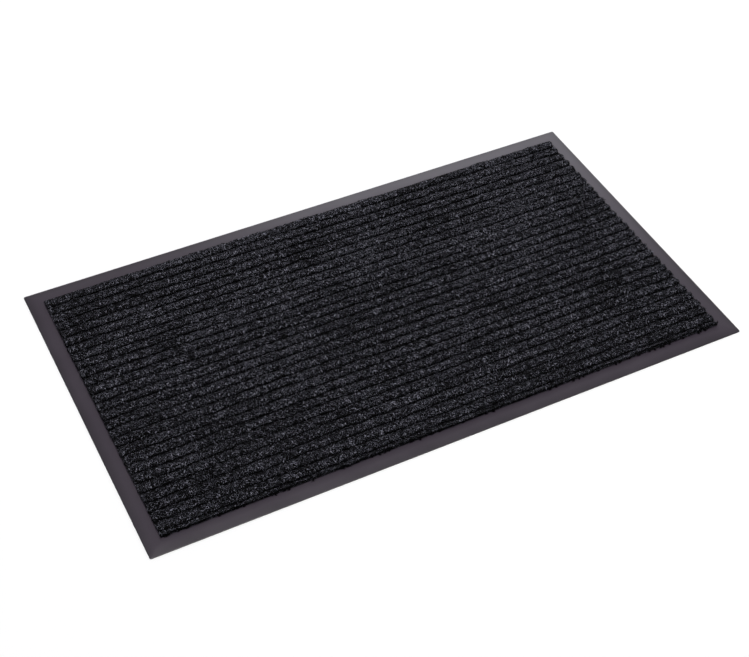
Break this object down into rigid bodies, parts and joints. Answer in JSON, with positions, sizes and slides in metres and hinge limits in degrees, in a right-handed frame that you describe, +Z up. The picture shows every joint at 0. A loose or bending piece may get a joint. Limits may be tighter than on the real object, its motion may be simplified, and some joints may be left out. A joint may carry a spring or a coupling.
{
  "type": "ribbed door mat",
  "caption": "Rectangular indoor entrance mat: ribbed needle-punched carpet bonded into a flexible PVC backing sheet with a plain bevelled border.",
  "frame": {"origin": "centre of the mat's underside, on the floor it lies on", "axes": "+X along the long side and the ribs, +Y across the ribs towards the far long side, +Z up out of the tread surface"},
  "size_m": [0.762, 0.4318, 0.008],
  "materials": {
    "pvc_backing": "matte",
    "bonding_film": "matte",
    "carpet_felt": "matte",
    "rib_pile": "matte"
  },
  "bodies": {
    "root": {"backing_sheet": "pvc_backing", "bonding_film": "bonding_film", "carpet_ground_web": "carpet_felt", "rib_01": "rib_pile", "rib_02": "rib_pile", "rib_03": "rib_pile", "rib_04": "rib_pile", "rib_05": "rib_pile", "rib_06": "rib_pile", "rib_07": "rib_pile", "rib_08": "rib_pile", "rib_09": "rib_pile", "rib_10": "rib_pile", "rib_11": "rib_pile", "rib_12": "rib_pile", "rib_13": "rib_pile", "rib_14": "rib_pile", "rib_15": "rib_pile", "rib_16": "rib_pile", "rib_17": "rib_pile", "rib_18": "rib_pile", "rib_19": "rib_pile", "rib_20": "rib_pile", "rib_21": "rib_pile", "rib_22": "rib_pile", "rib_23": "rib_pile", "rib_24": "rib_pile", "rib_25": "rib_pile", "rib_26": "rib_pile", "rib_27": "rib_pile", "rib_28": "rib_pile"}
  },
  "joints": []
}
